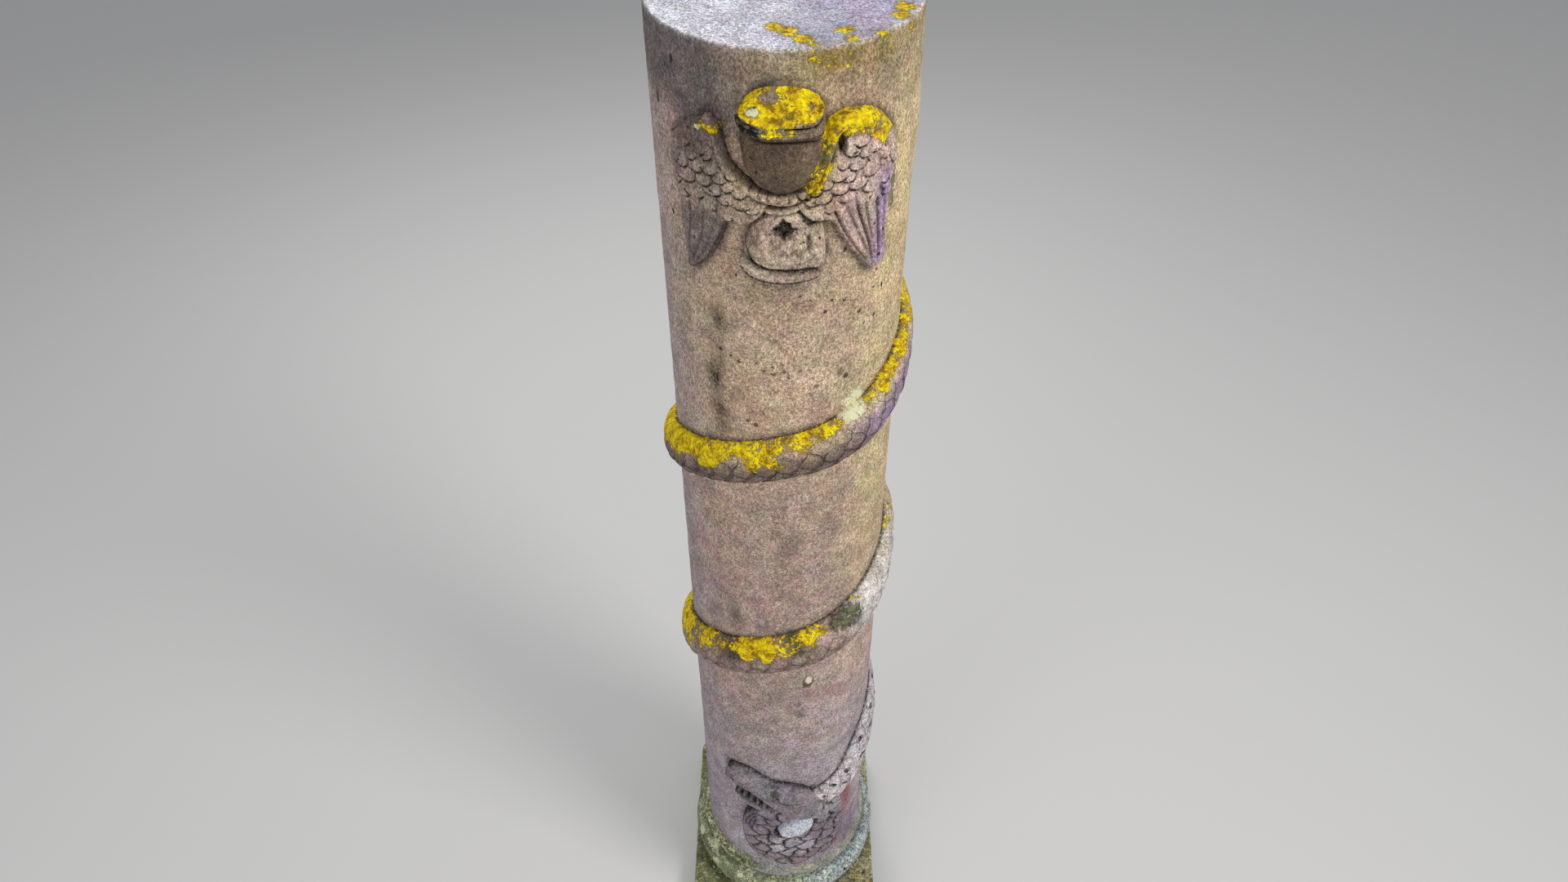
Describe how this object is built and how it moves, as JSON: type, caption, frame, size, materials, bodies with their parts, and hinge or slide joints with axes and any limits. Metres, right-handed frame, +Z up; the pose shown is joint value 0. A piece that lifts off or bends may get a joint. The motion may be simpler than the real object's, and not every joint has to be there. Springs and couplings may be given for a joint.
{
  "type": "funerary column",
  "caption": "Round sandstone memorial column on a torus and square plinth, carved with a winged hourglass and a serpent that winds down the shaft.",
  "frame": {"origin": "centre of the plinth's underside", "axes": "+Z up along the shaft, -Y towards the front with the winged hourglass, +X to the viewer's right"},
  "size_m": [0.374, 0.374, 1.875],
  "materials": {
    "weathered_sandstone": "weathered, pitted sandstone with crusts of yellow lichen",
    "mossy_base_stone": "damp sandstone with a skin of green algae"
  },
  "bodies": {
    "root": {"column_shaft": "weathered_sandstone", "torus_plinth": "mossy_base_stone"}
  },
  "joints": []
}
